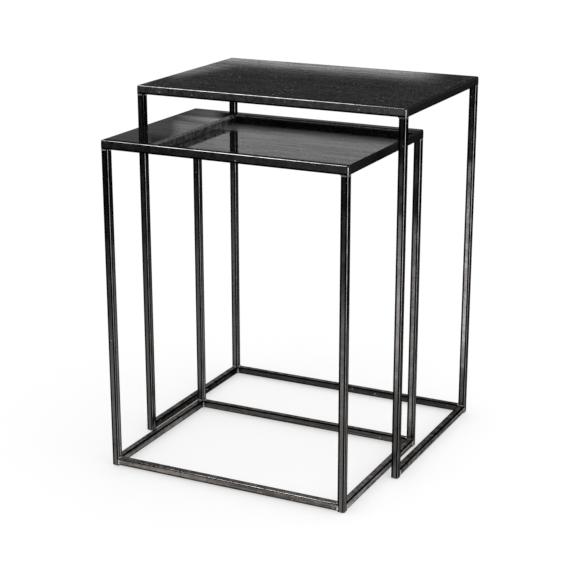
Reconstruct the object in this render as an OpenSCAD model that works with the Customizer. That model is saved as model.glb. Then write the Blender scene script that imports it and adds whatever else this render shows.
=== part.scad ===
// Two nesting side tables in blackened steel.
// Each table is a box of square tube, welded at every corner, with a folded sheet top.
// The large table has no front base rail, so the small one slides in under it.
// +Z is up, +X is to the right and +Y runs from the open front to the back.
// The origin is on the floor, in the middle of the pair as it stands pulled out.

/* [Large table] */
// Outside width
large_w = 475; // [380:5:700]
// Outside depth
large_d = 330; // [260:5:500]
// Height, from the floor to the top
large_h = 610; // [420:5:760]

/* [Nesting] */
// Room between the small table and the large table's legs, on each side
side_gap = 14; // [6:0.5:40]
// How much lower the small table stands
height_step = 60; // [40:5:120]
// How much shallower the small table is
depth_step = 30; // [20:5:60]
// How far the small table's front stands ahead of the large table's front
pull_out = 154; // [0:1:200]

/* [Steel] */
// Outside size of the square tube
tube = 12; // [10:0.5:20]
// Wall thickness of the square tube
wall = 1.2; // [0.8:0.1:2]
// Corner radius of the square tube
tube_r = 1.5; // [1.2:0.1:2]
// Thickness of the folded top sheet
sheet = 2; // [1.5:0.1:3]
// How far the legs and base rails stand in from the top's edge
leg_inset = 0.5; // [0:0.1:1]
// Size of a weld bead, along each of the two faces that it joins
bead = 3; // [2:0.5:4]

/* [Glides] */
// Diameter of the round pad under each leg
pad_d = 8; // [6:0.5:10]
// Height of the round pad
pad_h = 1.5; // [1:0.5:4]
// Thickness of the glide's head, which closes the leg's end
head_h = 1; // [1:0.5:2]
// Length of the glide's shank inside the leg
shank_l = 14; // [10:1:25]

/* [Hidden] */
$fn = 48;

// inside radius of the sheet's folds, and of the top's welded corners seen from above
fold_r = 0.5;
corner_r = 1;
// the folded edge hangs down level with the underside of the top frame
lip = sheet + tube;
// the top frame's corners are ground back, to clear the inside of the top's corners
frame_cut = corner_r + 0.2;
// the steel starts above the glides' pads and heads
foot_h = pad_h + head_h;

// the shank is a loose core with ribs that grip the leg's bore
bore = tube - 2 * wall;
shank_core = bore - 2;
shank_rib = bore - 0.2;
rib_h = 1;
rib_pitch = 4;

// the small table follows from the large one
small_w = large_w - 2 * (leg_inset + tube + side_gap);
small_d = large_d - depth_step;
small_h = large_h - height_step;

// the pulled-out pair is centred on the origin
pair_d = large_d + pull_out;
large_y = (pair_d - large_d) / 2;
small_y = (small_d - pair_d) / 2;

// finishes
TOP_BLACK = [0.10, 0.10, 0.105];
STEEL_DARK = [0.17, 0.165, 0.16];
WELD_GREY = [0.30, 0.29, 0.28];
PLASTIC_BLACK = [0.03, 0.03, 0.03];

// sides and corners, counted anticlockwise from the front; each turns a quarter further
SIDES = ["front", "right", "back", "left"];
CORNERS = ["front_left", "front_right", "back_right", "back_left"];

// a table is its name, width, depth, height, the y of its middle and its base rails' sides
TABLES = [
    ["large", large_w, large_d, large_h, large_y, ["right", "back", "left"]],
    ["small", small_w, small_d, small_h, small_y, SIDES]
];
function table_name(t) = t[0];
function width(t) = t[1];
function depth(t) = t[2];
function height(t) = t[3];
function middle_y(t) = t[4];
function base_sides(t) = t[5];

function place_in(list, name) = search([name], list)[0];
function has_base(t, side) = len([for (s = base_sides(t)) if (s == side) s]) > 0;
function front_or_back(side) = side == "front" || side == "back";
// how long a table is along one side, and how far that side is from its middle
function side_length(t, side) = front_or_back(side) ? width(t) : depth(t);
function side_reach(t, side) = (front_or_back(side) ? depth(t) : width(t)) / 2;
// a node's name, such as large_top_rail_front
function named(t, piece, place = "") =
    str(table_name(t), "_", piece, place == "" ? "" : "_", place);

// puts a piece on one side, in from the top's edge: it is drawn along X, its outer face on
// y = 0, its depth to +Y
module on_side(t, side, inset)
    translate([0, middle_y(t), 0])
        rotate(90 * place_in(SIDES, side))
            translate([0, inset - side_reach(t, side), 0]) children();

// puts a piece in a leg's corner: it is drawn from x = 0 and y = 0, its outer faces, to +X, +Y
module on_corner(t, corner) {
    i = place_in(CORNERS, corner);
    x = i == 1 || i == 2 ? 1 : -1;
    y = i >= 2 ? 1 : -1;
    translate([x * (width(t) / 2 - leg_inset), middle_y(t) + y * (depth(t) / 2 - leg_inset), 0])
        rotate(90 * i) children();
}

// a square with round corners, standing on the origin
module round_square(size, r) {
    translate([r, 0]) square([size - 2 * r, size]);
    translate([0, r]) square([size, size - 2 * r]);
    for (x = [r, size - r], y = [r, size - r])
        translate([x, y]) circle(r);
}

module tube_section()
    difference() {
        round_square(tube, tube_r);
        translate([wall, wall]) square(bore);
    }

// tube along X, its middle at x = 0, its outer face on y = 0 and its underside on z = 0
module lying_tube(length)
    translate([-length / 2, 0, 0]) rotate([90, 0, 90])
        linear_extrude(length) tube_section();

// the folded edge cut across: x runs out from the axis of the top's corner, y runs up
module rim_section() {
    translate([corner_r, 0]) square([sheet, lip - sheet - fold_r]);
    translate([0, lip - sheet]) square([corner_r - fold_r, sheet]);
    translate([corner_r - fold_r, lip - sheet - fold_r]) difference() {
        intersection() {
            circle(fold_r + sheet);
            square(fold_r + sheet);
        }
        circle(fold_r);
    }
}

// the top: one sheet folded down on all four sides, its corners welded and ground round
module top_sheet(t) {
    plate_w = width(t) - 2 * (corner_r + sheet);
    plate_d = depth(t) - 2 * (corner_r + sheet);
    color(TOP_BLACK) translate([0, middle_y(t), height(t) - lip]) {
        translate([-plate_w / 2, -plate_d / 2, lip - sheet]) cube([plate_w, plate_d, sheet]);
        for (a = [0, 180]) rotate(a) {
            translate([plate_w / 2, plate_d / 2, 0]) {
                rotate_extrude(angle = 90) rim_section();
                rotate([90, 0, 0]) linear_extrude(plate_d) rim_section();
            }
            translate([-plate_w / 2, plate_d / 2, 0]) rotate(90) {
                rotate_extrude(angle = 90) rim_section();
                rotate([90, 0, 0]) linear_extrude(plate_w) rim_section();
            }
        }
    }
}

// a side of the top frame: tube under the sheet, inside its folded edge, mitred at both ends
module top_rail(t, side) {
    half = side_length(t, side) / 2 - sheet;
    mitre = [[half - frame_cut, 0], [half - frame_cut / 2, frame_cut / 2], [half - tube, tube]];
    color(STEEL_DARK) on_side(t, side, sheet) translate([0, 0, height(t) - lip])
        intersection() {
            lying_tube(2 * half);
            linear_extrude(tube)
                polygon([for (p = mitre) p, for (i = [2, 1, 0]) [-mitre[i].x, mitre[i].y]]);
        }
}

// a leg: tube from the glide's head up to the underside of the top frame
module leg(t, corner)
    color(STEEL_DARK) on_corner(t, corner) translate([0, 0, foot_h])
        linear_extrude(height(t) - lip - foot_h) tube_section();

// a base rail, cut square to fit between two legs
module base_rail(t, side)
    color(STEEL_DARK) on_side(t, side, leg_inset) translate([0, 0, foot_h])
        lying_tube(side_length(t, side) - 2 * (leg_inset + tube));

// a plastic glide: a round pad, a head that closes the leg, and a ribbed shank inside it
module glide(t, corner)
    color(PLASTIC_BLACK) on_corner(t, corner) {
        translate([0, 0, pad_h]) linear_extrude(head_h) round_square(tube, tube_r);
        translate([tube / 2, tube / 2, 0]) {
            cylinder(h = pad_h, d = pad_d);
            translate([0, 0, foot_h]) linear_extrude(shank_l) square(shank_core, center = true);
            for (z = [rib_pitch - rib_h : rib_pitch : shank_l - rib_h])
                translate([0, 0, foot_h + z]) linear_extrude(rib_h) square(shank_rib, center = true);
        }
    }

// a weld bead along Z that fills the corner between the faces x = 0 and y = 0
module bead_up(length)
    linear_extrude(length) intersection() {
        square(bead);
        circle(bead);
    }

// a bead across the tube that is drawn along X: it lies along +Y, on top of or under z = 0
module bead_across(length, up)
    mirror([0, 0, up ? 0 : 1]) mirror([0, 1, 0]) rotate([90, 0, 0]) bead_up(length);

// one table's beads
module weld_beads(t) {
    // the flat of the tube, and as much of it as lies under the flat of the top frame
    flat = tube - 2 * tube_r;
    frame_from = sheet - leg_inset + tube_r;
    under_frame = tube - tube_r - frame_from;
    color(WELD_GREY) {
        // a leg's two inner faces, up against the underside of the top frame
        for (c = CORNERS) on_corner(t, c) translate([0, 0, height(t) - lip]) {
            translate([tube, frame_from, 0]) bead_across(under_frame, up = false);
            translate([frame_from, tube, 0]) mirror([1, -1, 0])
                bead_across(under_frame, up = false);
        }
        // on top of both ends of a base rail, against the legs
        for (s = base_sides(t), m = [0, 1]) on_side(t, s, leg_inset) mirror([m, 0, 0])
            translate([leg_inset + tube - side_length(t, s) / 2, tube_r, foot_h + tube])
                bead_across(flat, up = true);
        // upright, in the inner corner between two base rails
        for (i = [0 : 3]) if (has_base(t, SIDES[i]) && has_base(t, SIDES[(i + 3) % 4]))
            on_corner(t, CORNERS[i]) translate([tube, tube, foot_h + tube_r]) bead_up(flat);
    }
}

for (t = TABLES) {
    top_sheet(t);
    weld_beads(t);
    for (s = SIDES)
        top_rail(t, s);
    for (s = base_sides(t))
        base_rail(t, s);
    for (c = CORNERS) {
        leg(t, c);
        glide(t, c);
    }
}
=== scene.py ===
# %% [markdown]
# # A pair of nesting tables in blackened steel
# Two tables made the same way: a thin steel top folded down on all four sides, four square
# tube legs, and a ring of square tube at the floor, which the larger one leaves open at the
# front. The smaller one slides out from under it there. The solid parts come ready made, in
# metres and in their places, so this lesson is about what a welder and a finisher add: the
# weld beads, the spatter, and the patina, grain and wear of the steel. The box around the
# solids is measured first, because nothing may grow out of it.

# %% Load the solid parts
import math
import random

import bpy
from mathutils import Matrix, Vector


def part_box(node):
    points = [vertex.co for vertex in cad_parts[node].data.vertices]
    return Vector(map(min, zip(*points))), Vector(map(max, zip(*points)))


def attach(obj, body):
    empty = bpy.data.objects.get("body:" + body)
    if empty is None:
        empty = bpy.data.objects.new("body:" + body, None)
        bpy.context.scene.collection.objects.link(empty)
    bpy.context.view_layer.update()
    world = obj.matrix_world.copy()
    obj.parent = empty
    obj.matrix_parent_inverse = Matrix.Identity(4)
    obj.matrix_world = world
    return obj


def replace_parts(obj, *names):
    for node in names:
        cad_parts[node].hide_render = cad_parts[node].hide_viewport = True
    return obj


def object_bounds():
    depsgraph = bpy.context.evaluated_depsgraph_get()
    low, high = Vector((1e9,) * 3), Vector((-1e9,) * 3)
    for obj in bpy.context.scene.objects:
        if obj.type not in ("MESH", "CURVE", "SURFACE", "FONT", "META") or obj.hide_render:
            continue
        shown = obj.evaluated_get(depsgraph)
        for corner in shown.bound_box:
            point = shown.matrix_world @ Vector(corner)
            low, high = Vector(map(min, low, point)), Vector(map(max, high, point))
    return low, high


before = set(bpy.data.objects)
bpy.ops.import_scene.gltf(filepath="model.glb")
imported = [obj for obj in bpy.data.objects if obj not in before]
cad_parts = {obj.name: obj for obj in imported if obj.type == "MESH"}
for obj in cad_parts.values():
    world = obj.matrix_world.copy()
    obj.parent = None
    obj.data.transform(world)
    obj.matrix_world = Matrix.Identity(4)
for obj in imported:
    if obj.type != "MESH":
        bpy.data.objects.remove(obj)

solid_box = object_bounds()
print("solid parts:", len(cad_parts), "box:", [list(corner) for corner in solid_box])

# %% [markdown]
# ## The camera
# A long lens from a few steps away, a little above the larger top, keeps the thin legs nearly
# parallel. It stands in front and to the right, and looks down about seventeen degrees. From
# so low a place the tops are seen at a grazing angle, so they show mostly reflections.

# %% Camera
bpy.ops.object.select_all(action="DESELECT")
bpy.ops.object.camera_add(
    location=(1.072, -2.198, 1.033),
    rotation=(math.radians(72.63), 0, math.radians(26.05)),
)
camera = bpy.context.active_object
camera.data.sensor_width = 36
camera.data.lens = 94.5
bpy.context.scene.camera = camera
bpy.context.scene.view_settings.view_transform = "Standard"
print("camera at", [round(v, 3) for v in camera.location])

# %% [markdown]
# ## Small helpers for node trees
# Every finish below is a tree of nodes. Placing a node, joining its wires and doing sums on
# masks are done so often that each gets a short helper, which keeps the recipes readable. A
# wire knows the tree that it belongs to, so most helpers find the tree by themselves. A mask
# is a value from 0 to 1 that says how much of a finish a spot gets.

# %% Node helpers
def feed(node, wires):
    """Gives each input of a node a wire, or else a plain number or colour."""
    for socket, value in wires.items():
        if isinstance(value, bpy.types.NodeSocket):
            node.id_data.links.new(value, node.inputs[socket])
        else:
            node.inputs[socket].default_value = value
    return node


def place(tree, kind, wires=None, **settings):
    """Adds a node, sets its own settings and feeds its inputs."""
    made = tree.nodes.new(kind)
    for name, value in settings.items():
        setattr(made, name, value)
    return feed(made, wires or {})


def join(kind, wires, **settings):
    """Adds a node to the tree that its wires come from."""
    sources = [value for value in wires.values() if isinstance(value, bpy.types.NodeSocket)]
    return place(sources[0].id_data, kind, wires, **settings).outputs


def sums(kind, *values):
    """One kind of arithmetic along a row of values."""
    total = values[0]
    for value in values[1:]:
        total = join("ShaderNodeMath", {0: total, 1: value}, operation=kind)[0]
    return total


def times(*values):
    """Multiplies; of masks it keeps what all of them share."""
    return sums("MULTIPLY", *values)


def largest(*values):
    """The largest value; of masks it keeps what any of them has."""
    return sums("MAXIMUM", *values)


def plus(*values):
    """Adds values."""
    return sums("ADD", *values)


def minus(*values):
    """Takes values away from the first one; from 1 it turns a mask inside out."""
    return sums("SUBTRACT", *values)


def alone(kind, value):
    """Arithmetic on a single value: ABSOLUTE drops its sign, SIGN keeps only that."""
    return join("ShaderNodeMath", {0: value}, operation=kind)[0]


def remap(value, low, high, to_low=0.0, to_high=1.0):
    """Turns one range of a value into another, with soft ends."""
    wires = {"Value": value, 1: low, 2: high, 3: to_low, 4: to_high}
    return join("ShaderNodeMapRange", wires, interpolation_type="SMOOTHSTEP")[0]


print("node helpers ready")

# %% [markdown]
# ## Helpers for colours and places
# Colours and plain numbers are mixed by a mask. Noise gives a finish its chance, and the
# coordinates say where on the tables a spot lies and which way it faces.

# %% Colour and place helpers
def blend(amount, a, b):
    """Mixes two colours by a mask."""
    return join("ShaderNodeMix", {"Factor": amount, 6: a, 7: b}, data_type="RGBA")[2]


def choose(amount, a, b):
    """Mixes two numbers by a mask."""
    return join("ShaderNodeMix", {0: amount, 2: a, 3: b}, data_type="FLOAT")[0]


def grey(level, warmth=0.0):
    """A grey of a given brightness; warmth above 0 turns it towards brown."""
    return (level * (1 + warmth), level, level * (1 - 0.5 * warmth), 1)


def noise(vector, scale, detail, roughness=0.5):
    """Cloudy noise between 0 and 1."""
    wires = {"Vector": vector, "Scale": scale, "Detail": detail, "Roughness": roughness}
    return join("ShaderNodeTexNoise", wires)[0]


def coordinates(tree, kind="Object"):
    """Where a spot is, or with Normal which way it faces."""
    return place(tree, "ShaderNodeTexCoord").outputs[kind]


def split(vector):
    """The X, Y and Z of a vector."""
    return join("ShaderNodeSeparateXYZ", {0: vector})


def empty_material(name):
    """A material with nothing in its node tree yet."""
    made = bpy.data.materials.new(name)
    made.use_nodes = True
    made.node_tree.nodes.clear()
    return made, made.node_tree


def count_nodes(made):
    """Prints how many nodes a material, a world or a group has, and gives it back."""
    tree = made if hasattr(made, "nodes") else made.node_tree
    print(made.name + ":", len(tree.nodes), "nodes")
    return made


print("a light grey:", grey(0.8))

# %% [markdown]
# ## Helpers for shared effects
# Wear, grain and patina come back in several finishes. Each is built once as a node group, and
# every finish places it with values of its own.

# %% Group helpers
def mask_group(name, inputs, outputs):
    """Starts a node group; its outputs are masks and heights between 0 and 1."""
    group = bpy.data.node_groups.new(name, "ShaderNodeTree")
    for socket, value in inputs.items():
        kind = "NodeSocketVector" if value is None else "NodeSocketFloat"
        made = group.interface.new_socket(name=socket, in_out="INPUT", socket_type=kind)
        if value is not None:
            made.default_value = value
    for socket in outputs:
        group.interface.new_socket(name=socket, in_out="OUTPUT", socket_type="NodeSocketFloat")
    return group, group.nodes.new("NodeGroupInput").outputs, group.nodes.new("NodeGroupOutput")


def use(group, **values):
    """Places a node group in a material, with that material's own values."""
    wires = {socket.replace("_", " "): value for socket, value in values.items()}
    return join("ShaderNodeGroup", wires, node_tree=group)


print("group helpers ready")

# %% [markdown]
# ## The floor and the background
# Bare metal is mostly what it reflects, so the studio is as much a part of its look as the
# finish. The tables stand on a white floor that runs back without a horizon: one wide disc.

# %% Floor
FLOOR_RADIUS, MIDDLE_RADIUS = 12, 2.5  # metres, to the rim and to the edge of the middle face
FLOOR_DROP = 0.0003  # keeps the floor from sharing a plane with the glides

bpy.ops.object.select_all(action="DESELECT")
bpy.ops.mesh.primitive_circle_add(
    vertices=96, radius=FLOOR_RADIUS, fill_type="NGON", location=(0, 0, -FLOOR_DROP)
)
floor = bpy.context.active_object
floor.name = "studio_floor"
bpy.ops.object.mode_set(mode="EDIT")
bpy.ops.mesh.inset(thickness=FLOOR_RADIUS - MIDDLE_RADIUS)
bpy.ops.object.mode_set(mode="OBJECT")
print("floor faces:", len(floor.data.polygons))

# %% [markdown]
# Near the tables the disc is a plain white surface that takes their soft shadow, and further
# out it turns into an even white glow, so that floor and background meet without a line. Metal
# sees a third floor: lit in three pools, in front at the right, under the tables and far
# behind, and dark between them. Legs that mirror a floor lit all over would look flat and
# grey; the pools give them bright and dark faces.

# %% Floor material
FRONT_POOL, BACK_POOL = (0.9, -0.1, 0), (-1.3, 2.9, 0)  # where the outer pools of light lie

floor_white, tree = empty_material("floor_white")
ray = place(tree, "ShaderNodeLightPath").outputs
coords = coordinates(tree)


def from_spot(spot):
    """How far a place on the floor is from a spot."""
    return join("ShaderNodeVectorMath", {0: coords, 1: spot}, operation="DISTANCE")["Value"]


from_middle = from_spot((0, 0, 0))
depth = split(coords)["Y"]
mirrored = largest(ray["Is Glossy Ray"], ray["Is Transmission Ray"])
far = remap(from_middle, 0.9, 1.8, 0.5, 1.0)
plain = largest(mirrored, times(far, ray["Is Camera Ray"]))
front = times(
    remap(from_spot(FRONT_POOL), 1.45, 2.25, 1.0, 0.08),
    remap(depth, 0.3, -0.1, 0.3, 1.0),
)
near = remap(from_middle, 0.8, 0.45)
back = remap(from_spot(BACK_POOL), 1.5, 1.0)
strength = choose(ray["Is Camera Ray"], largest(front, near, back), 1.0)
paper = place(tree, "ShaderNodeBsdfDiffuse", {"Color": grey(0.95)}).outputs[0]
glow = join("ShaderNodeEmission", {"Color": grey(1.0), "Strength": strength})[0]
shown = join("ShaderNodeMixShader", {0: plain, 1: paper, 2: glow})[0]
join("ShaderNodeOutputMaterial", {"Surface": shown})
floor.data.materials.append(floor_white)
count_nodes(floor_white)

# %% [markdown]
# ## The room
# Behind everything the room is plain white to the eye. What metal sees of it is pale at the
# horizon and nearly dark above, as in a studio with its ceiling lights off. That dark ceiling
# is what makes the tops look black.

# %% Room
room = bpy.data.worlds.new("room")
bpy.context.scene.world = room
room.use_nodes = True
tree = room.node_tree
tree.nodes.clear()
ray = place(tree, "ShaderNodeLightPath").outputs
up = split(coordinates(tree, "Generated"))["Z"]
wall = remap(up, 0.03, 0.14, 0.7, 0.055)
mirrored = largest(ray["Is Glossy Ray"], ray["Is Transmission Ray"])
strength = choose(ray["Is Camera Ray"], choose(mirrored, 1.1, wall), 1.0)
backdrop = join("ShaderNodeBackground", {"Color": grey(1.0), "Strength": strength})[0]
join("ShaderNodeOutputWorld", {"Surface": backdrop})
count_nodes(room)

# %% [markdown]
# ## The lamps
# A narrow soft box hangs high on the left and lights only shiny things: it draws the bright
# line along the folded front edges. A low wide one stands on the floor at the right, lights
# the corners of the legs and ends below the tops, so that no top mirrors it.

# %% Lamps
def softbox(name, wide, tall, at, towards, radiance, lights_matt):
    """A rectangular lamp whose face is as bright as the radiance says; 1 looks white."""
    bpy.ops.object.select_all(action="DESELECT")
    facing = (Vector(towards) - Vector(at)).to_track_quat("-Z", "Y")
    bpy.ops.object.light_add(type="AREA", location=at, rotation=facing.to_euler())
    lamp = bpy.context.active_object
    lamp.name = name
    lamp.data.shape = "RECTANGLE"
    lamp.data.size = wide
    lamp.data.size_y = tall
    lamp.data.energy = radiance * math.pi * wide * tall
    lamp.visible_camera = False
    lamp.visible_diffuse = lights_matt
    print(name, "power", round(lamp.data.energy, 2))


softbox(
    "overhead_softbox", wide=0.62, tall=1.2, at=(-0.68, -0.45, 1.8), towards=(-0.68, -0.45, 0),
    radiance=4.0, lights_matt=False,
)
softbox(
    "right_softbox", wide=1.4, tall=0.54, at=(1.15, -0.4, 0.28), towards=(0, -0.4, 0.28),
    radiance=2.0, lights_matt=True,
)

# %% [markdown]
# ## The white card
# A card stands close behind the tables, a little to the left. It lights nothing and no camera
# sees it, but the waxed tops mirror it.

# %% Card
CARD_WIDTH, CARD_HEIGHT = 1.6, 0.8
CARD_LEFTWARDS = 0.5
CARD_GAP = 0.1  # metres behind the tables

bpy.ops.object.select_all(action="DESELECT")
bpy.ops.mesh.primitive_plane_add(size=1, location=(0, 0, 0))
card = bpy.context.active_object
card.name = "white_card"
bpy.ops.object.mode_set(mode="EDIT")
bpy.ops.transform.rotate(value=math.radians(90), orient_axis="X", center_override=(0, 0, 0))
bpy.ops.transform.resize(value=(CARD_WIDTH, 1, CARD_HEIGHT))
bpy.ops.transform.translate(value=(-CARD_LEFTWARDS, solid_box[1][1] + CARD_GAP, CARD_HEIGHT / 2))
bpy.ops.object.mode_set(mode="OBJECT")
for seen_by in ("camera", "diffuse", "shadow", "transmission"):
    setattr(card, "visible_" + seen_by, False)
print("card:", [round(v, 3) for v in card.dimensions])

# %% [markdown]
# The card is painted with light. Its bright band is the pale band that fades out across the
# back of the larger top, and a slanted wedge and two faint parts carry that on to the left. A
# low strip shows along the back of the smaller top, with a black one above it. All its edges
# are feathered, so that no reflection has a hard end, and the rest of it is clear.

# %% Card material
card_white, tree = empty_material("card_white")
at = split(coordinates(tree))


def fade(way, none, full, level=1.0):
    """A mask on the card, from nothing at one line to its level at another."""
    return remap(at[way], none, full, 0.0, level)


low = fade("Z", 0.624, 0.631)
strip = largest(fade("Z", 0.6158, 0.614, 0.24), fade("X", -0.3, -0.34, 0.24))
high = sums("POWER", fade("Z", 0.66, 0.626), 2.5)
ends = times(fade("X", 0.15, 0.07), fade("X", -0.45, -0.33))
band = times(largest(low, strip), high, ends)
slope = plus(at["X"], times(minus(at["Z"], 0.647), 4.4))
wedge = times(
    remap(slope, -0.27, -0.33), fade("X", -0.445, -0.4), fade("Z", 0.632, 0.645, 0.5)
)
faint = times(fade("X", -0.37, -0.44, 0.16), fade("Z", 0.685, 0.662))
corner = times(fade("X", -0.465, -0.49, 0.17), fade("Z", 0.725, 0.69))
shown = largest(band, wedge, faint, corner)
black = times(
    fade("Z", 0.6145, 0.6158), fade("Z", 0.6235, 0.622), fade("X", -0.34, -0.3, 0.96)
)
solid = largest(shown, black, 0.001)
strength = times(sums("DIVIDE", shown, solid), 0.9)
glow = join("ShaderNodeEmission", {"Color": grey(1.0), "Strength": strength})[0]
clear = place(tree, "ShaderNodeBsdfTransparent").outputs[0]
feathered = join("ShaderNodeMixShader", {0: solid, 1: clear, 2: glow})[0]
join("ShaderNodeOutputMaterial", {"Surface": feathered})
card.data.materials.append(card_white)
count_nodes(card_white)

# %% [markdown]
# ## Worn edges
# A hand passes over a steel edge more often than over a flat, and the black comes off there
# first. The flats of these tables face straight along an axis, so a normal that leans away
# from all three axes belongs to a rounded edge. The group puts out a mask for the bright
# middle of the rounding and one for a dark band of painted shade beside it.

# %% Worn edge group
worn_edges, given, result = mask_group("worn_edges", {"Vector": None}, ["Worn", "Shaded"])
facing = coordinates(worn_edges, "Normal")
squareness = largest(*split(join("ShaderNodeVectorMath", {0: facing}, operation="ABSOLUTE")[0]))
rounding = remap(squareness, 0.9, 0.78)
# Painted shade: the Shaded mask is a dark band beside each rounded edge.
beside = remap(squareness, 0.9995, 0.975)
patch_mask = remap(noise(given["Vector"], 70.0, 3.0), 0.36, 0.58, 0.55, 1.0)
feed(result, {
    "Worn": times(rounding, patch_mask),
    "Shaded": times(beside, minus(1.0, rounding)),
})
count_nodes(worn_edges)

# %% [markdown]
# ## Tube edges
# Square tube is polished along its corners by the same hands, and beside each corner a dark
# band of painted shade runs along the edge. Two opposite corners get the full polished line
# and the other two a faint one. On a leg these are the front right corner, which the lamp on
# the right catches, so that its bright line is partly a painted highlight, and the back left
# one. The distance from a corner is worked out from two coordinates, both counted from the
# middle of the section.

# %% Tube edge group
POLISHED_LINE = (0.0009, 0.0003)  # metres from the corner: where it fades in and is full
BLACK_FEATHER = 0.0006  # metres over which the painted shade beside a corner fades out, to each side

sizes = {"Sideways": 0.0, "Upwards": 0.0, "Half": 0.006, "Polish": 1.0, "Reach": 0.0034}
tube_edges, given, result = mask_group(
    "tube_edges", {"Vector": None, **sizes}, ["Worn", "Shaded"]
)
sideways = alone("ABSOLUTE", given["Sideways"])
upwards = alone("ABSOLUTE", given["Upwards"])
from_corner = minus(given["Half"], sums("MINIMUM", sideways, upwards))
# Full polish on a leg's front right corner: partly real wear, partly a painted highlight.
same_side = alone("SIGN", times(given["Sideways"], given["Upwards"]))
polish = times(remap(same_side, 1, -1, 0.15, 1.0), given["Polish"])
patch_mask = remap(noise(given["Vector"], 35.0, 2.0), 0.36, 0.58, 0.6, 1.0)
worn = times(remap(from_corner, *POLISHED_LINE), times(patch_mask, polish))
outside = plus(given["Reach"], BLACK_FEATHER)
inside = minus(given["Reach"], BLACK_FEATHER)
# Painted shade: a dark band beside each corner, outside the polished line.
beside = minus(remap(from_corner, outside, inside), worn)
feed(result, {"Worn": worn, "Shaded": largest(beside, 0.0)})
count_nodes(tube_edges)

# %% [markdown]
# ## Rolled grain
# Sheet and tube leave the rolls with fine lines along their length and tiny pits between
# them. Noise stretched along one direction gives the lines, and a second, even noise gives
# the pits. The material says which way the lines run, by how it scales the coordinates.

# %% Rolled grain group
rolled_grain, given, result = mask_group(
    "rolled_grain", {"Along": None, "Even": None, "Pit size": 900.0}, ["Lines", "Pits", "Height"]
)
lines = remap(noise(given["Along"], 1.0, 3.0), 0.3, 0.7)
pits = remap(noise(given["Even"], given["Pit size"], 5.0, 0.7), 0.28, 0.74)
height = plus(times(lines, 0.5), times(pits, 0.5))
feed(result, {"Lines": lines, "Pits": pits, "Height": height})
count_nodes(rolled_grain)

# %% [markdown]
# ## Patina
# Steel is blackened by wiping it with a chemical, and the wipe never takes evenly. The group
# gives slow clouds as wide as a hand, smaller blotches inside them, and a few dark smudges
# where the liquid pooled.

# %% Patina group
patina, given, result = mask_group(
    "patina", {"Vector": None, "Cloud size": 9.0, "Blotch size": 70.0},
    ["Clouds", "Blotches", "Smudges"],
)
cloud = noise(given["Vector"], given["Cloud size"], 3.0, 0.55)
blotch = noise(given["Vector"], given["Blotch size"], 5.0, 0.65)
feed(result, {
    "Clouds": remap(cloud, 0.35, 0.65),
    "Blotches": remap(blotch, 0.33, 0.68),
    "Smudges": remap(times(cloud, blotch), 0.36, 0.44),
})
count_nodes(patina)

# %% [markdown]
# ## Specks
# Sparks from the welding freeze on the steel as tiny bright specks. A cell pattern gives
# every little cell a random number, and only the few cells above a threshold keep their dot.

# %% Speck group
specks, given, result = mask_group(
    "specks", {"Vector": None, "Spacing": 260.0, "Kept": 0.9}, ["Specks"]
)
cells = join("ShaderNodeTexVoronoi", {"Vector": given["Vector"], "Scale": given["Spacing"]})
ragged = times(noise(given["Vector"], 2500.0, 2.0), 0.3)
dot = remap(plus(cells["Distance"], ragged), 0.4, 0.28)
lottery = split(cells["Color"])[0]
feed(result, {"Specks": times(dot, sums("GREATER_THAN", lottery, given["Kept"]))})
count_nodes(specks)

# %% [markdown]
# ## The steels
# All the steel parts share one recipe and differ in their values: how dark the black is, how
# pale the bare metal under it, which way the grain runs. Metallic is 1 wherever steel shows, so
# the base colour is the tint of the reflection, and roughness decides how sharp it is. Only
# the black skin on top of the tops is not metal, but a matt layer under a clear film of wax.

# %% Shared start of every steel
ALONG_X = (8, 520, 520)
ALONG_Y = (520, 8, 520)
ALONG_Z = (520, 520, 8)
GRAIN_DEPTH = 0.00003  # metres from the bottom of a pit to the flat
# Painted shade: the dark band along edges and along the foot of a folded top.
EDGE_SHADE_BLACK = grey(0.003)


def start_steel(name, along):
    """A metal shader, with coordinates scaled so that the grain runs along one direction."""
    made, tree = empty_material(name)
    shader = place(tree, "ShaderNodeBsdfPrincipled", {"Metallic": 1.0})
    join("ShaderNodeOutputMaterial", {"Surface": shader.outputs[0]})
    coords = coordinates(tree)
    stretched = join("ShaderNodeMapping", {"Vector": coords, "Scale": along})[0]
    return made, shader, coords, stretched


def relief(height, strength):
    """A normal that follows a height."""
    wires = {"Height": height, "Distance": GRAIN_DEPTH, "Strength": strength}
    return join("ShaderNodeBump", wires)[0]


print("grain runs along X, Y or Z:", ALONG_X, ALONG_Y, ALONG_Z)

# %% [markdown]
# ### The folded tops
# The sheet is bent down on all four sides, blackened, and waxed on top. Pale specks on it are
# scale that took no black, many of them dull and a few bright. The folded edge has no wax: it
# is less black, flecked, and polished along the front bend. A black band is painted along its
# foot as shade, its side and back faces are painted darker than the front as shade, and its
# front face is painted paler towards the right as light. The underside is bare and glossy as
# it left the mill, brushed dull only along the back where the frame was welded on. It matters
# more than it seems: the lower top mirrors it, and in it the floor far behind.

# %% Colour of the tops
# Where each finish fades in and where it is full, in metres from one side of the top's box.
FRONT_EDGE = (0.009, 0.005)
WAXED = (0.006, 0.014)
FOOT = (0.0036, 0.002)
BRUSHED = (-0.085, -0.07)


def reach(value, line, distances, to_low=0.0):
    """A mask that fades in over two distances from a line."""
    return remap(value, *[line + distance for distance in distances], to_low, 1.0)


def top_masks(coords, low, high):
    """Which way a folded top faces, and where its finishes lie."""
    at = split(coords)
    upward = split(coordinates(coords.id_data, "Normal"))["Z"]
    return {
        "up": remap(upward, 0.75, 0.97),
        "down": remap(upward, -0.3, -0.7),
        "right": remap(at["X"], low[0] * 0.5, high[0]),
        "front": reach(at["Y"], low[1], FRONT_EDGE),
        "foot": reach(at["Z"], low[2], FOOT),
        "brushed": reach(at["Y"], high[1], BRUSHED),
        "waxed": reach(at["Y"], low[1], WAXED, 0.05),
    }


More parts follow.
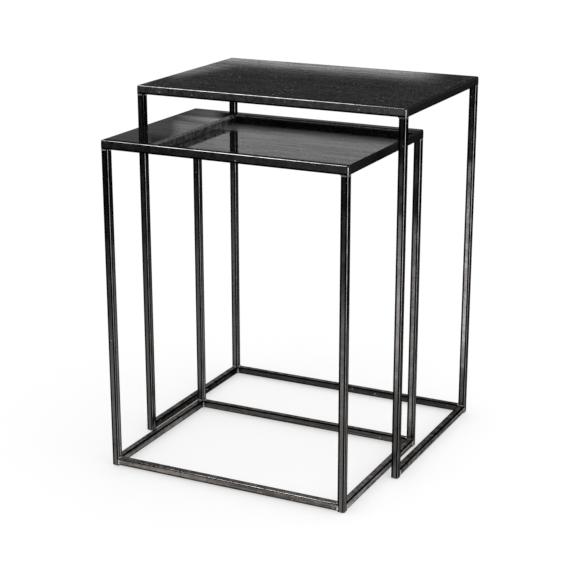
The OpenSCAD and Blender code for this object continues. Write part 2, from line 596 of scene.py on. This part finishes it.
def top_colour(coords, masks, grain, clouds, face, rim, fleck, speck):
    """The black face, the flecked folded edge and the bare underside of a top."""
    fine = use(specks, Vector=coords, Spacing=330.0, Kept=0.85)["Specks"]
    coarse = use(specks, Vector=coords, Spacing=150.0, Kept=0.9)["Specks"]
    stray = use(specks, Vector=coords, Spacing=290.0, Kept=0.983)["Specks"]
    black = blend(clouds["Clouds"], grey(face * 0.7), grey(face * 1.25, 0.02))
    black = blend(remap(grain["Pits"], 0.5, 0.85), black, grey(fleck, 0.02))
    black = blend(fine, black, grey(speck, 0.02))
    black = blend(stray, black, grey(speck * 3.5, 0.01))
    shade = blend(clouds["Blotches"], grey(rim * 0.45, 0.04), grey(rim * 1.4, 0.04))
    paler = blend(0.35, shade, grey(rim * 2.6, 0.03))
    # Painted light: the fold grows paler towards the right.
    folded = blend(masks["right"], shade, paler)
    folded = blend(fine, folded, grey(rim * 5, 0.02))
    folded = blend(coarse, folded, grey(0.8, 0.02))
    # Painted shade: the side and back faces of the fold are darker than the front.
    folded = blend(masks["front"], grey(rim * 0.25), folded)
    # Painted shade: a black band along the foot of the fold.
    folded = blend(masks["foot"], folded, EDGE_SHADE_BLACK)
    bare = blend(clouds["Blotches"], grey(0.36, 0.02), grey(0.5, 0.02))
    bare = blend(masks["brushed"], bare, grey(0.98, 0.01))
    return blend(masks["down"], blend(masks["up"], folded, black), bare)


print("the front edge of a top is", FRONT_EDGE[0] * 1000, "mm deep")

# %% [markdown]
# The black is matt, so every reflection on a top comes from the wax film. The film is thin
# over the pits and the grain, and rubbed away along the front edge.

# %% Steel for the two tops
def top_steel(table, face, rim, fleck, speck, wax, streaks, thinnest):
    """The steel of one top; face, rim, fleck and speck are greys, and wax is its roughness."""
    made, shader, coords, stretched = start_steel(table + "_top_blackened", (14, 130, 130))
    grain = use(rolled_grain, Along=stretched, Even=coords, Pit_size=340.0)
    clouds = use(patina, Vector=coords, Cloud_size=7.0, Blotch_size=110.0)
    wear = use(worn_edges, Vector=coords)
    masks = top_masks(coords, *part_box(table + "_top_sheet"))
    colour = top_colour(coords, masks, grain, clouds, face, rim, fleck, speck)
    # Painted shade: a dark band beside the rounded edges.
    colour = blend(wear["Shaded"], colour, grey(0.006))
    worn = times(wear["Worn"], remap(masks["front"], 0, 1, 0.12, 1.0))
    skin = plus(grain["Pits"], times(grain["Lines"], streaks), times(clouds["Blotches"], 0.12))
    film = remap(skin, 0.35 + streaks * 0.1, 0.7 + streaks * 0.7, thinnest, 1.0)
    matt = remap(worn, 0, 1, 0.34, 0.2)
    mill = remap(masks["brushed"], 0, 1, 0.06, 0.36)
    feed(shader, {
        "Base Color": blend(worn, colour, grey(0.42, 0.02)),
        "Metallic": minus(1.0, masks["up"]),
        "Roughness": choose(masks["down"], matt, mill),
        "Specular IOR Level": 0.0,
        "Coat Weight": times(film, masks["waxed"], masks["up"]),
        "Coat Roughness": wax,
        "Normal": relief(times(grain["Pits"], masks["up"]), 0.3),
    })
    return count_nodes(made)


top_steels = {
    "large": top_steel(
        "large", face=0.007, rim=0.15, fleck=0.06, speck=0.22,
        wax=0.06, streaks=0.8, thinnest=0.42,
    ),
    "small": top_steel(
        "small", face=0.003, rim=0.05, fleck=0.02, speck=0.12,
        wax=0.03, streaks=0.6, thinnest=0.65,
    ),
}

# %% [markdown]
# ### Shared start of the tubes
# Every tube starts from the same grain and patina. A coordinate is turned into a place across
# the nearer of two parallel tubes, so that one material serves both.

# %% Helpers for tubes
def middle_of(part):
    """The middle of a solid's box."""
    return [(a + b) / 2 for a, b in zip(*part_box(part))]


def across_tube(value, low, high):
    """Where a coordinate lies across the nearer of two tubes, counted from its middle."""
    from_centre = minus(value, (low + high) / 2)
    nearer = times(alone("SIGN", from_centre), (high - low) / 2)
    return minus(from_centre, nearer)


def start_tube(name, along, cloud_size, blotch_size):
    """A tube's steel: shader, grain and patina, and where a spot is and which way it faces."""
    made, shader, coords, stretched = start_steel(name, along)
    grain = use(rolled_grain, Along=stretched, Even=coords, Pit_size=800.0)
    clouds = use(patina, Vector=coords, Cloud_size=cloud_size, Blotch_size=blotch_size)
    facing = split(coordinates(made.node_tree, "Normal"))
    return made, shader, coords, grain, clouds, split(coords), facing


print("the large table's back left leg stands at", middle_of("large_leg_back_left"))

# %% [markdown]
# ### The top frames
# The tube ring inside each folded edge shows only from below and in the mirror of the lower
# top. Its front and back rails are wiped as black as the legs and stay black at any angle, and
# its side rails took far less. Underneath there is only a thin bare line down the middle of
# each rail, where it lay on the bench.

# %% Steel for the top frames
BARE_LINE = (0.0018, 0.001)  # metres from the middle of a rail


def ring_steel(table, along, way, ends, shade, grazing):
    """The steel of two rails under a top; grazing is how much they shine at a low angle."""
    made, shader, coords, grain, clouds, at, facing = start_tube(
        f"{table}_ring_along_{way}", along, 12.0, 90.0
    )
    wear = use(worn_edges, Vector=coords)
    axis = "XYZ".index(way)
    low, high = [middle_of(f"{table}_top_rail_{end}")[axis] for end in ends]
    from_middle = alone("ABSOLUTE", across_tube(at[way], low, high))
    below = times(remap(facing["Z"], -0.4, -0.8), reach(from_middle, 0, BARE_LINE))
    colour = blend(clouds["Blotches"], grey(shade * 0.5), grey(shade * 1.5, 0.03))
    bare = blend(grain["Lines"], grey(0.75, 0.03), grey(0.95, 0.03))
    colour = blend(below, colour, bare)
    matt = remap(clouds["Blotches"], 0, 1, 0.24, 0.4)
    feed(shader, {
        # Painted shade: a dark band beside the rounded edges, at half strength.
        "Base Color": blend(times(wear["Shaded"], 0.5), colour, grey(0.01)),
        "Roughness": choose(below, matt, 0.1),
        "Normal": relief(grain["Height"], 0.2),
        "Specular Tint": grey(grazing),
    })
    return count_nodes(made)


ring_steels = {}
for table in ("large", "small"):
    ring_steels[table, True] = ring_steel(table, ALONG_X, "Y", ("front", "back"), 0.013, 0.05)
    ring_steels[table, False] = ring_steel(table, ALONG_Y, "X", ("left", "right"), 0.55, 0.5)

# %% [markdown]
# ### Finishing a tube
# On legs and base rails alike, bright flecks and the edges lie over everything else: painted
# shade beside each corner, and the polished line on it. Blackened steel is dull at a grazing
# angle, so the edge tint of the metal is set low.

# %% The last layers of a tube
def finish_tube(shader, colour, flecks, edge, rough, height, fleck, polish, smoother, lift):
    """Lays flecks and edges over a colour; the polish is also smoother than the rest."""
    colour = blend(flecks, colour, grey(fleck, 0.01))
    # Painted shade: a dark band beside each corner.
    colour = blend(edge["Shaded"], colour, EDGE_SHADE_BLACK)
    feed(shader, {
        "Base Color": blend(edge["Worn"], colour, grey(polish, 0.02)),
        "Roughness": minus(rough, times(edge["Worn"], smoother)),
        "Normal": relief(height, lift),
        "Specular Tint": grey(0.25),
    })


print("tube finish ready")

# %% [markdown]
# ### The legs
# Square tube, darkest under the tops and turning to steel grey towards the floor, with drawing
# lines along it and fine black pits. The fall from black to grey is partly a patina wiped from
# the top down and partly painted: shade under the tops and light near the floor. The flanks,
# the faces to the left and right, are painted paler, as light. On the right legs, most of all
# on the larger table, a paler patch at half height is a painted reflection.

# %% Steel for the legs
# Partly patina, partly painted: shade high on the legs and light near the floor.
WIPED_AND_LIT = (0.5, 0.2)  # heights in metres where the black starts to thin and where it has gone
SHEEN_FEATHER_TOP, SHEEN_FEATHER_FOOT = 0.18, 0.1  # metres over which the paler patch fades


def leg_middles(table):
    """The middles of a table's front left and back right legs."""
    return middle_of(table + "_leg_front_left"), middle_of(table + "_leg_back_right")


def leg_steel(table, dark, pale, lit_flank, sheen, sheen_top, sheen_foot):
    """The steel of four legs; all but the last two values are greys, and those are heights."""
    made, shader, coords, grain, clouds, at, facing = start_tube(
        table + "_leg_blackened", ALONG_Z, 12.0, 60.0
    )
    on_flank = remap(alone("ABSOLUTE", facing["X"]), 0.5, 0.8)
    low, high = leg_middles(table)
    edge = use(
        tube_edges, Vector=coords,
        Sideways=across_tube(at["X"], low[0], high[0]),
        Upwards=across_tube(at["Y"], low[1], high[1]),
    )
    rise = plus(at["Z"], remap(clouds["Clouds"], 0, 1, -0.05, 0.05))
    # Painted shade high up and painted light low down, over a wiped patina.
    wiped_and_lit = remap(rise, *WIPED_AND_LIT)
    black = blend(clouds["Blotches"], grey(dark * 0.75), grey(dark * 1.3, 0.03))
    bare = blend(clouds["Blotches"], grey(pale * 0.85, 0.05), grey(pale * 1.15, 0.08))
    # Painted light: the flanks are paler.
    colour = blend(wiped_and_lit, black, blend(on_flank, bare, grey(lit_flank, 0.04)))
    # Painted reflection: a paler patch at half height on the right legs.
    backwards = remap(at["Y"], low[1], high[1])
    longer = plus(rise, times(backwards, 0.08))
    patch_mask = times(
        remap(rise, sheen_top, sheen_top - SHEEN_FEATHER_TOP),
        remap(longer, sheen_foot - SHEEN_FEATHER_FOOT, sheen_foot),
        remap(at["X"], -0.1, 0.2), minus(1.0, on_flank),
    )
    sheen_colour = blend(backwards, grey(sheen * 1.1, 0.05), grey(sheen * 1.7, 0.05))
    sheen_colour = blend(times(clouds["Blotches"], 0.4), sheen_colour, grey(sheen * 0.5))
    colour = blend(patch_mask, colour, sheen_colour)
    colour = blend(times(clouds["Smudges"], 0.5), colour, grey(0.012))
    lines = times(grain["Lines"], remap(wiped_and_lit, 0, 1, 0.2, 0.6))
    drawn = blend(on_flank, grey(pale * 2.0, 0.05), grey(lit_flank))
    colour = blend(lines, colour, drawn)
    pitted = times(remap(grain["Pits"], 0.5, 0.75), 0.55)
    colour = blend(pitted, colour, grey(0.01))
    flecks = use(specks, Vector=coords, Spacing=240.0, Kept=0.98)["Specks"]
    rough = remap(clouds["Blotches"], 0, 1, 0.24, 0.36)
    finish_tube(
        shader, colour, flecks, edge, rough, grain["Height"],
        fleck=0.5, polish=0.45, smoother=0.1, lift=0.4,
    )
    return count_nodes(made)


leg_steels = {
    "large": leg_steel("large", 0.025, 0.072, 0.12, 0.44, sheen_top=0.52, sheen_foot=0.19),
    "small": leg_steel("small", 0.016, 0.085, 0.2, 0.17, sheen_top=0.47, sheen_foot=0.2),
}

# %% [markdown]
# ### The base rails
# The rings at the floor are hardly blackened: warm grey tube with long drawing lines and fine
# pits. Shoes polish the corners of the smaller table's front rail, and the other rails keep
# dull corners. The tops of all the rails are painted paler, as light from above, and the rails
# at the back and on the left are painted darker than those at the front and right, as shade.

# %% Steel for the base rails
WARM, COOLER = (1.09, 1.0, 0.93), (1.03, 1.0, 0.97)


def rail_steel(table, across, low_pale, high_pale, polish, top):
    """The steel of two base rails, from one grey at the front or left to another opposite."""
    name, along, way, tint = (
        ("across", ALONG_X, "Y", WARM) if across else ("deep", ALONG_Y, "X", COOLER)
    )
    made, shader, coords, grain, clouds, at, facing = start_tube(
        f"{table}_rail_{name}", along, 14.0, 80.0
    )
    axis = "XYZ".index(way)
    low, high = [middle[axis] for middle in leg_middles(table)]
    edge = use(
        tube_edges, Vector=coords,
        Sideways=across_tube(at[way], low, high),
        Upwards=minus(at["Z"], middle_of(table + "_base_rail_back")[2]),
        Polish=remap(at["Y"], 0.0, -0.15, 0.0, polish),
        Reach=0.0022,
    )
    # Painted light and shade: darker at the back and on the left, paler at the front and right.
    pale = remap(at[way], low, high, low_pale, high_pale)
    pale = times(pale, remap(clouds["Blotches"], 0, 1, 0.75, 1.25))
    colour = join("ShaderNodeVectorMath", {0: tint, 3: pale}, operation="SCALE")[0]
    colour = blend(times(clouds["Smudges"], 0.6), colour, grey(0.02))
    lines = remap(grain["Lines"], 0.2, 0.9, 0.0, 0.75)
    colour = blend(lines, colour, grey(0.02, 0.05))
    # Painted light: the top faces are paler.
    on_top = remap(facing["Z"], 0.8, 0.97)
    lit_upper = blend(clouds["Blotches"], grey(top * 0.6, 0.04), grey(top * 1.3, 0.06))
    colour = blend(times(on_top, 0.85), colour, lit_upper)
    fewer = remap(on_top, 0, 1, 0.55, 0.2)
    pitted = times(remap(grain["Pits"], 0.5, 0.75), fewer)
    colour = blend(pitted, colour, grey(0.012))
    flecks = use(specks, Vector=coords, Spacing=240.0, Kept=0.975)["Specks"]
    rough = remap(clouds["Blotches"], 0, 1, 0.25, 0.4)
    finish_tube(
        shader, colour, flecks, edge, rough, grain["Height"],
        fleck=0.55, polish=0.95, smoother=0.15, lift=0.5,
    )
    return count_nodes(made)


rail_steels = {
    ("large", True): rail_steel("large", True, 0.045, 0.045, polish=0.1, top=0.45),
    ("large", False): rail_steel("large", False, 0.06, 0.32, polish=0.1, top=0.5),
    ("small", True): rail_steel("small", True, 0.21, 0.08, polish=1.5, top=0.42),
    ("small", False): rail_steel("small", False, 0.22, 0.5, polish=0.1, top=0.5),
}

# %% [markdown]
# ### The glides
# Black moulded plastic caps close the foot of every leg. Moulded plastic is not metal: its
# colour is its own, it shines only faintly, and its skin is finely dimpled by the mould.

# %% Plastic for the glides
glide_plastic, tree = empty_material("glide_black_plastic")
coords = coordinates(tree)
clouds = use(patina, Vector=coords, Cloud_size=60.0, Blotch_size=400.0)
dimples = join("ShaderNodeTexVoronoi", {"Vector": coords, "Scale": 2500.0})["Distance"]
shader = place(tree, "ShaderNodeBsdfPrincipled", {
    "Metallic": 0.0,
    "IOR": 1.49,
    "Base Color": blend(clouds["Blotches"], grey(0.012), grey(0.028, 0.03)),
    "Roughness": remap(clouds["Clouds"], 0, 1, 0.42, 0.6),
    "Normal": relief(dimples, 0.4),
})
join("ShaderNodeOutputMaterial", {"Surface": shader.outputs[0]})
count_nodes(glide_plastic)

# %% [markdown]
# ### Finishing the solid parts
# Each solid keeps its shape and place, and only the material in its slot changes.

# %% Give every solid its finish
def finish_for(part):
    """The material for a solid, chosen by its name."""
    table = part.split("_")[0]
    across = part.endswith(("front", "back"))
    if "glide" in part:
        return glide_plastic
    if "base_rail" in part:
        return rail_steels[table, across]
    if "top_rail" in part:
        return ring_steels[table, across]
    return leg_steels[table] if "leg" in part else top_steels[table]


for part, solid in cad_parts.items():
    for slot in solid.material_slots:
        slot.material = finish_for(part)
print("finished", len(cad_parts), "solids")

# %% [markdown]
# ## Weld steel
# A weld bead is never wiped, so it shows its own metal. It is blotched pale and dark with
# burnt scale, and the heat leaves faint clouds of straw and blue on it.

# %% Weld steel
STRAW, BLUE = (0.34, 0.26, 0.17, 1), (0.1, 0.13, 0.2, 1)

weld_steel, shader, coords, _ = start_steel("weld_steel", ALONG_Z)
clouds = use(patina, Vector=coords, Cloud_size=90.0, Blotch_size=420.0)
grain = use(rolled_grain, Along=coords, Even=coords, Pit_size=1500.0)
bead = blend(clouds["Blotches"], grey(0.12, 0.04), grey(0.7, 0.03))
bead = blend(times(clouds["Clouds"], 0.35), bead, STRAW)
feed(shader, {
    "Base Color": blend(remap(clouds["Clouds"], 0.35, 0.0, 0.0, 0.35), bead, BLUE),
    "Roughness": remap(clouds["Blotches"], 0, 1, 0.42, 0.2),
    "Normal": relief(grain["Pits"], 0.5),
})
count_nodes(weld_steel)

# %% [markdown]
# ## Tools for modelling
# A few steps come back for every piece: clearing the selection, picking faces by the way they
# look, and cutting a piece flat where it sits on the steel. Everything left to chance comes
# from one fixed start, so that each run gives the same model.

# %% Tools for modelling
chance = random.Random(7)


def clear_selection():
    """Leaves edit mode and deselects everything, so that the next tool acts on one piece."""
    if bpy.context.mode != "OBJECT":
        bpy.ops.object.mode_set(mode="OBJECT")
    bpy.ops.object.select_all(action="DESELECT")


def select_faces(piece, wanted):
    """Selects the faces whose normal passes a test, and leaves the piece in edit mode."""
    bpy.ops.mesh.select_all(action="DESELECT")
    bpy.ops.mesh.select_mode(type="FACE")
    bpy.ops.object.mode_set(mode="OBJECT")
    for face in piece.data.polygons:
        face.select = wanted(face.normal)
    bpy.ops.object.mode_set(mode="EDIT")


def cut_away(direction, depth):
    """Keeps what lies on the side that a direction points to, and closes the cut."""
    bpy.ops.mesh.select_all(action="SELECT")
    bpy.ops.mesh.bisect(
        plane_co=[-depth * part for part in direction], plane_no=direction,
        use_fill=True, clear_inner=True,
    )


def squash(*factors):
    """Scales the selection from the origin."""
    bpy.ops.transform.resize(value=factors, center_override=(0, 0, 0))


print("modelling tools ready")

# %% [markdown]
# ## Modelling a weld bead
# A bead is laid as a row of small puddles, each half over the last, so its outline swells and
# dips along its length. In an inner corner it is a quarter round. It starts as a short slice
# of rod, cut to a quarter, and then the end face is pulled out ripple by ripple and scaled
# each time. On a flat butt joint the bead is a half round, pressed nearly flush.

# %% Weld beads
BEAD_BITE, DROP_BITE = 0.0002, 0.0001  # metres that they sink into the steel
END_WIDTH, DIP_WIDTH = 0.66, 0.84  # shares of the full width at the ends and between ripples
RAIL_BEAD, LEG_BEAD, SEAM, RIM_SEAM = 0.009, 0.0075, 0.0095, 0.0098  # lengths in metres


def rippled_rod(name, length, radius, ripples, cuts, flatten=1.0):
    """A weld bead up along Z from the origin; cuts are the directions that it keeps."""
    clear_selection()
    step = length / ripples
    bpy.ops.mesh.primitive_cylinder_add(
        vertices=20, radius=radius * END_WIDTH, depth=step * 0.2, location=(0, 0, step * 0.1)
    )
    rod = bpy.context.active_object
    rod.name = name
    bpy.ops.object.mode_set(mode="EDIT")
    for direction in cuts:
        cut_away(direction, BEAD_BITE)
    select_faces(rod, lambda normal: normal.z > 0.9)
    size = END_WIDTH
    for ripple in range(ripples):
        crest = chance.uniform(0.93, 1.0)
        valley = END_WIDTH if ripple == ripples - 1 else DIP_WIDTH
        for share, width in ((0.25, crest), (0.3, crest * 0.97), (0.3, valley)):
            pull = {"value": (0, 0, share * step)}
            bpy.ops.mesh.extrude_region_move(TRANSFORM_OT_translate=pull)
            squash(width / size, width / size, 1)
            size = width
    bpy.ops.mesh.select_all(action="SELECT")
    if flatten < 1:
        squash(1, flatten, 1)
    bpy.ops.mesh.remove_doubles(threshold=0.00001)
    bpy.ops.mesh.normals_make_consistent(inside=False)
    bpy.ops.object.mode_set(mode="OBJECT")
    bpy.ops.object.shade_smooth_by_angle(angle=math.radians(50))
    print(name, "faces:", len(rod.data.polygons))
    return rod


corner_bead = rippled_rod("corner_bead", RAIL_BEAD, 0.003, 6, ((1, 0, 0), (0, 1, 0)))
short_bead = rippled_rod("short_bead", LEG_BEAD, 0.003, 5, ((1, 0, 0), (0, 1, 0)))
flat_seam = rippled_rod("flat_seam", SEAM, 0.0015, 6, ((0, 1, 0),), flatten=0.28)
rim_seam = rippled_rod("rim_seam", RIM_SEAM, 0.0009, 7, ((0, 1, 0),), flatten=0.32)

# %% [markdown]
# ## Modelling a drop of spatter
# Sparks that fly off the puddle freeze where they land, as flattened beads with a flat foot.
# A ball of few faces is squashed and its underside cut off.

# %% Spatter drop
clear_selection()
bpy.ops.mesh.primitive_ico_sphere_add(subdivisions=2, radius=0.0006, location=(0, 0, 0))
drop = bpy.context.active_object
drop.name = "drop"
bpy.ops.object.mode_set(mode="EDIT")
squash(1.1, 0.7, 1)
cut_away((0, 1, 0), DROP_BITE)
bpy.ops.mesh.normals_make_consistent(inside=False)
bpy.ops.object.mode_set(mode="OBJECT")
bpy.ops.object.shade_smooth()
print("drop faces:", len(drop.data.polygons))

# %% [markdown]
# ## Where the welds are
# Every joint is found from the solids themselves: the ends of the rails and the tops of the
# legs. A bead is laid by three directions: where it runs, and the two ways it bulges.

# %% Laying copies
def arrow(axis, way=1):
    """A step of one along X, Y or Z (axis 0, 1 or 2), or against it if way is -1."""
    return Vector([way if i == axis else 0 for i in range(3)])


def parts_of(table, kind):
    """The names of a table's legs or base rails."""
    return [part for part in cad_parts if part.startswith(f"{table}_{kind}")]


def lay(master, at, run, out, size=1.0):
    """Copies a piece: its Z follows run, its Y follows out, and its place goes into its mesh."""
    turned = Matrix((out.cross(run), out, run)).transposed().to_4x4()
    laid = master.copy()
    laid.data = master.data.copy()
    laid.data.transform(Matrix.Translation(at) @ turned @ Matrix.Scale(size, 4))
    bpy.context.collection.objects.link(laid)
    return laid


def lay_in_corner(master, middle, run, first, second, length):
    """Centres a quarter-round bead on a corner line; it bulges along first and second."""
    if first.cross(second).dot(run) < 0:
        first, second = second, first
    return lay(master, Vector(middle) - run * length / 2, run, second)


print("beads go on", parts_of("large", "base_rail"))

# %% [markdown]
# Under each top a leg meets the ring with two inner beads and two flush outer ones. The folded
# top itself is welded up its four corners.

# %% Beads at the top of one table
# All in metres.
WALL = 0.0012  # thickness of the tube
BEAD_SHIFT = 0.00075  # moves a bead inwards, off the folded edge
CORNER_RADIUS = 0.003  # of the folded top, seen from above
RIM_FOOT = 0.0006  # from the foot of the folded edge to the start of its seam


def leg_top_welds(leg, sheet):
    """Beads and seams where a leg meets the frame under the top."""
    low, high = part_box(leg)
    half, top = (high[0] - low[0]) / 2, high[2]
    middle, centre = middle_of(leg), middle_of(sheet)
    sides = [1 if middle[i] > centre[i] else -1 for i in (0, 1)]
    laid = []
    for axis, other in ((0, 1), (1, 0)):
        away, along = arrow(axis, -sides[axis]), arrow(other)
        at = [middle[0], middle[1], top]
        at[axis] += away[axis] * half
        at[other] -= sides[other] * BEAD_SHIFT
        laid.append(lay_in_corner(short_bead, at, along, away, arrow(2, -1), LEG_BEAD))
        at = [middle[0], middle[1], top - WALL]
        at[axis] -= away[axis] * half
        at[other] -= SEAM / 2
        laid.append(lay(flat_seam, at, along, -away))
    return laid


def rim_welds(sheet):
    """The seam up each corner of a folded top."""
    low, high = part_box(sheet)
    laid = []
    for x, side_x in ((low[0], -1), (high[0], 1)):
        for y, side_y in ((low[1], -1), (high[1], 1)):
            out = Vector((side_x, side_y, 0)).normalized()
            at = [x - side_x * CORNER_RADIUS, y - side_y * CORNER_RADIUS, low[2] + RIM_FOOT]
            laid.append(lay(rim_seam, Vector(at) + out * CORNER_RADIUS, arrow(2), out))
    return laid


print("inner beads under a top are", LEG_BEAD * 1000, "mm long")

# %% [markdown]
# At the floor each rail end has a bead on top and a flush one outside. Where two rails meet at
# a leg there is an upright bead between them, which the front legs of the larger table lack.

# %% Beads at the floor of one table
SEAM_SHIFT = 0.0004  # metres that a flush seam lies nearer to the leg than the joint


def rail_end_welds(rail, centre):
    """The beads on top of a base rail's two ends, and the seams outside them."""
    low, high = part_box(rail)
    middle = middle_of(rail)
    axis, other = (0, 1) if high[0] - low[0] > high[1] - low[1] else (1, 0)
    outwards = arrow(other, 1 if middle[other] > centre[other] else -1)
    laid = []
    for end, inward in ((low[axis], 1), (high[axis], -1)):
        at = list(middle)
        at[axis] = end
        at[2] = high[2]
        into = arrow(axis, inward)
        laid.append(lay_in_corner(corner_bead, at, arrow(other), into, arrow(2), RAIL_BEAD))
        at[other] += outwards[other] * (high[other] - low[other]) / 2
        at[2] = middle[2] - SEAM / 2
        at[axis] -= inward * SEAM_SHIFT
        laid.append(lay(flat_seam, at, arrow(2), outwards))
    return laid


def upright_weld(leg, rails, centre):
    """The bead up the inner corner of a leg, if two rails meet there."""
    low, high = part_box(leg)
    middle = middle_of(leg)
    ways = [1 if middle[i] < centre[i] else -1 for i in (0, 1)]
    corner = [high[i] if ways[i] > 0 else low[i] for i in (0, 1)]
    meeting = []
    for rail in rails:
        rail_low, rail_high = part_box(rail)
        if all(rail_low[i] - 0.001 < corner[i] < rail_high[i] + 0.001 for i in (0, 1)):
            meeting.append(rail)
    if len(meeting) < 2:
        return []
    at = (*corner, middle_of(meeting[0])[2])
    into = arrow(0, ways[0]), arrow(1, ways[1])
    return [lay_in_corner(corner_bead, at, arrow(2), *into, RAIL_BEAD)]


def base_welds(table):
    """All the beads at the floor of one table."""
    rails, centre = parts_of(table, "base_rail"), middle_of(table + "_top_sheet")
    laid = []
    for rail in rails:
        laid += rail_end_welds(rail, centre)
    for leg in parts_of(table, "leg"):
        laid += upright_weld(leg, rails, centre)
    return laid


print("beads at the floor are", RAIL_BEAD * 1000, "mm long")

# %% [markdown]
# ## Spatter
# The drops lie within a few centimetres of a joint, thickest close to it, on the outer faces
# of the legs and on top of the base rails. Chance places them, from a fixed start, so that
# they always land on the same spots.

# %% Spatter of one table
NEAREST, FARTHEST, USUAL = 0.006, 0.09, 0.018  # metres from a joint
SPREAD = 0.0038  # metres to each side of the middle of a face


def spatter(table, count):
    """Drops along every leg and base rail; on a rail none hangs from the underside."""
    laid = []
    for part in parts_of(table, "leg") + parts_of(table, "base_rail"):
        low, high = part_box(part)
        run = max(range(3), key=lambda i: high[i] - low[i])
        for _ in range(count):
            face = chance.choice([i for i in range(3) if i != run])
            other = 3 - run - face
            way = chance.choice((-1, 1))
            way = 1 if face == 2 else way
            near = min(chance.expovariate(1 / USUAL), FARTHEST) + NEAREST
            at = [0, 0, 0]
            at[run] = chance.choice((low[run] + near, high[run] - near))
            at[face] = high[face] if way > 0 else low[face]
            at[other] = (low[other] + high[other]) / 2 + chance.uniform(-SPREAD, SPREAD)
            laid.append(lay(drop, at, arrow(run), arrow(face, way), chance.uniform(0.45, 1.0)))
    return laid


print("drops lie up to", (NEAREST + FARTHEST) * 1000, "mm from a joint")

# %% [markdown]
# ## Joining the beads
# All the beads of one table become one piece, because they are one job for the welder. It
# stands in place of the plain beads of the solid model and moves with its table.

# %% Weld both tables
def join_as(name, laid, table):
    """Joins copies into one named piece that moves with a table."""
    clear_selection()
    for piece in laid:
        piece.select_set(True)
    bpy.context.view_layer.objects.active = laid[0]
    bpy.ops.object.join()
    joined = bpy.context.active_object
    joined.name = name
    joined.data.name = name
    joined.data.materials.clear()
    joined.data.materials.append(weld_steel)
    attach(joined, table + "_table")
    print(name, "faces:", len(joined.data.polygons))
    return joined


for table in ("large", "small"):
    sheet = table + "_top_sheet"
    beads = rim_welds(sheet) + base_welds(table)
    for leg in parts_of(table, "leg"):
        beads += leg_top_welds(leg, sheet)
    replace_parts(join_as(table + "_welds", beads, table), table + "_weld_beads")
    join_as(table + "_spatter", spatter(table, 6), table)

clear_selection()
for master in (corner_bead, short_bead, flat_seam, rim_seam, drop):
    bpy.data.objects.remove(master)
